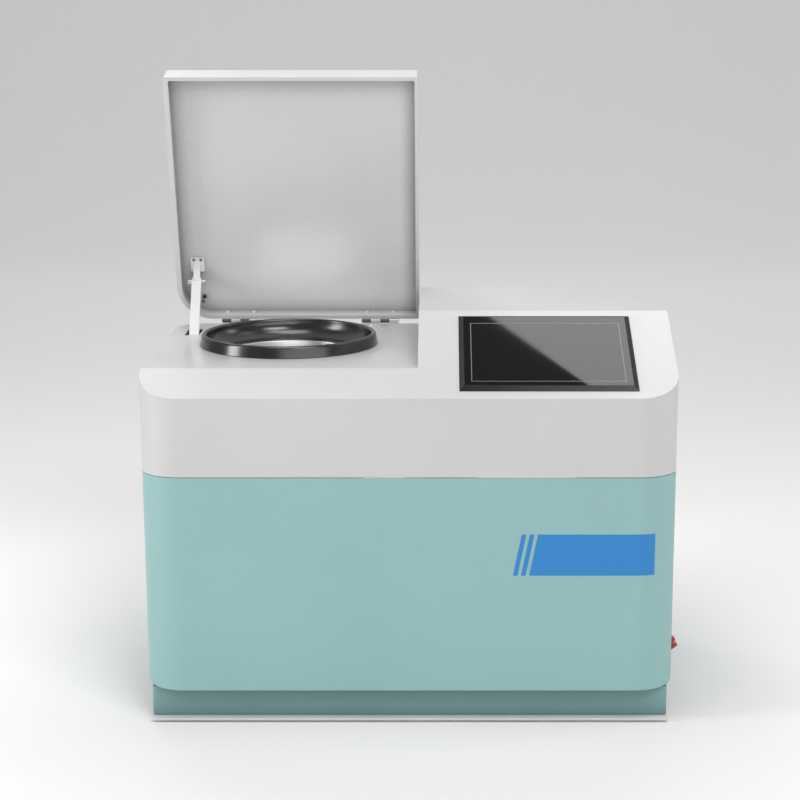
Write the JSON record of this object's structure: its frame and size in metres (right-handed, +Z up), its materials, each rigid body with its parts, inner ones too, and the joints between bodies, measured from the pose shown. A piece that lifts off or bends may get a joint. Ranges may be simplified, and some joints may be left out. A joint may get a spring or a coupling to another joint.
{
  "type": "cryogenic grinding mill",
  "caption": "Bench-top cold grinding mill: teal cabinet with grey head, lid open over a black-ringed chamber, stay arm, sloping touch console, side rocker switch, belt-driven wobble drive.",
  "frame": {"origin": "on the bench top, under the middle of the base plate", "axes": "+Z up, +Y to the rear, +X to the right as seen from the front"},
  "size_m": [0.6116, 0.3932, 0.7214],
  "materials": {
    "paint_teal": "satin powder coat",
    "paint_grey": "satin powder coat",
    "paint_white": "gloss enamel",
    "paint_black": "gloss enamel",
    "plate_grey": "satin powder coat",
    "film_blue": "printed film",
    "plastic_black": "high gloss",
    "screen_black": "polished",
    "plastic_dark": "fine grain",
    "plastic_red": "gloss",
    "board_green": "lacquered",
    "foam": "closed-cell foam",
    "rubber_black": "matte",
    "stainless": "brushed",
    "steel_polished": "ground",
    "steel_plated": "zinc plated",
    "steel_dark": "blackened",
    "steel_screw": "bright",
    "aluminium": "machined",
    "copper": "bright copper"
  },
  "bodies": {
    "chassis": {"base_plate": "plate_grey", "rubber_feet": "rubber_black", "plinth": "paint_teal", "lower_cabinet": "paint_teal", "rear_panel": "paint_teal", "rear_panel_screws": "steel_screw", "head_cover": "paint_grey", "front_label": "film_blue", "touch_bezel": "plastic_black", "touch_glass": "screen_black", "touch_housing": "plastic_dark", "control_board": "board_green", "chamber_ring": "plastic_black", "chamber_bowl": "stainless", "chamber_insulation": "foam", "evaporator_jacket": "aluminium", "shaft_seal": "rubber_black", "bearing_housing": "aluminium", "shaft_bearings": "steel_polished", "mechanism_frame": "steel_plated", "frame_bolts": "steel_screw", "motor_body": "aluminium", "drive_belt": "rubber_black", "compressor": "paint_black", "compressor_mounts": "rubber_black", "condenser": "aluminium", "fan_shroud": "steel_plated", "refrigerant_pipes": "copper", "power_supply": "steel_plated", "motor_driver": "aluminium", "power_inlet": "plastic_dark", "switch_housing": "plastic_dark", "stay_guide": "steel_plated", "lid_sensor": "plastic_dark", "hinge_base_leaves": "steel_plated", "hinge_pins": "steel_polished", "hinge_base_screws": "steel_screw", "inlet_panel": "paint_teal"},
    "lid": {"lid_shell": "paint_grey", "lid_liner": "paint_grey", "lid_foam": "foam", "hinge_lid_leaves": "steel_dark", "hinge_lid_screws": "steel_screw", "stay_bracket": "paint_white", "bracket_screws": "steel_screw", "stay_pin": "steel_polished", "lid_magnet": "plastic_dark"},
    "stay": {"stay_arm": "paint_white", "stay_roller": "plastic_dark"},
    "switch": {"switch_rocker": "plastic_red"},
    "shaft": {"drive_shaft": "steel_polished", "shaft_pulley": "aluminium"},
    "wobbler": {"wobble_hub": "stainless", "wobble_bearing": "steel_polished", "carrier_plate": "aluminium", "clamp_plate": "aluminium"},
    "knob": {"clamp_knob": "plastic_dark"},
    "motor_rotor": {"motor_shaft": "steel_polished", "motor_pulley": "aluminium"},
    "fan": {"fan_rotor": "plastic_dark"}
  },
  "joints": [
    {"name": "lid_hinge", "type": "hinge", "parent": "chassis", "child": "lid", "pos_m": [0, 0.1852, 0.404], "axis": [1, 0, 0], "range_deg": [0, 75]},
    {"name": "stay_pivot", "type": "hinge", "parent": "lid", "child": "stay", "pos_m": [-0.2746, 0.1724, 0.45565], "axis": [1, 0, 0], "range_deg": [-24, 0]},
    {"name": "power_rocker", "type": "hinge", "parent": "chassis", "child": "switch", "pos_m": [0.3, -0.102, 0.0703], "axis": [0, 1, 0], "range_deg": [0, 16]},
    {"name": "shaft_spin", "type": "hinge", "parent": "chassis", "child": "shaft", "pos_m": [-0.147, 0.0337, 0.2], "axis": [0, 0, 1], "continuous": true},
    {"name": "wobble_counter_spin", "type": "hinge", "parent": "shaft", "child": "wobbler", "pos_m": [-0.147, 0.0337, 0.318], "axis": [0.0698, 0, 0.9976], "continuous": true},
    {"name": "clamp_turn", "type": "hinge", "parent": "wobbler", "child": "knob", "pos_m": [-0.147, 0.0337, 0.318], "axis": [0.0698, 0, 0.9976], "range_deg": [0, 90]},
    {"name": "motor_spin", "type": "hinge", "parent": "chassis", "child": "motor_rotor", "pos_m": [0.035, 0.0337, 0.18], "axis": [0, 0, 1], "continuous": true},
    {"name": "fan_spin", "type": "hinge", "parent": "chassis", "child": "fan", "pos_m": [0.223, 0.085, 0.142], "axis": [1, 0, 0], "continuous": true}
  ],
  "couplings": [
    {"joint": "stay_pivot", "follows": "lid_hinge", "ratio": -0.32},
    {"joint": "wobble_counter_spin", "follows": "shaft_spin", "ratio": -1},
    {"joint": "motor_spin", "follows": "shaft_spin", "ratio": 0.71429}
  ]
}
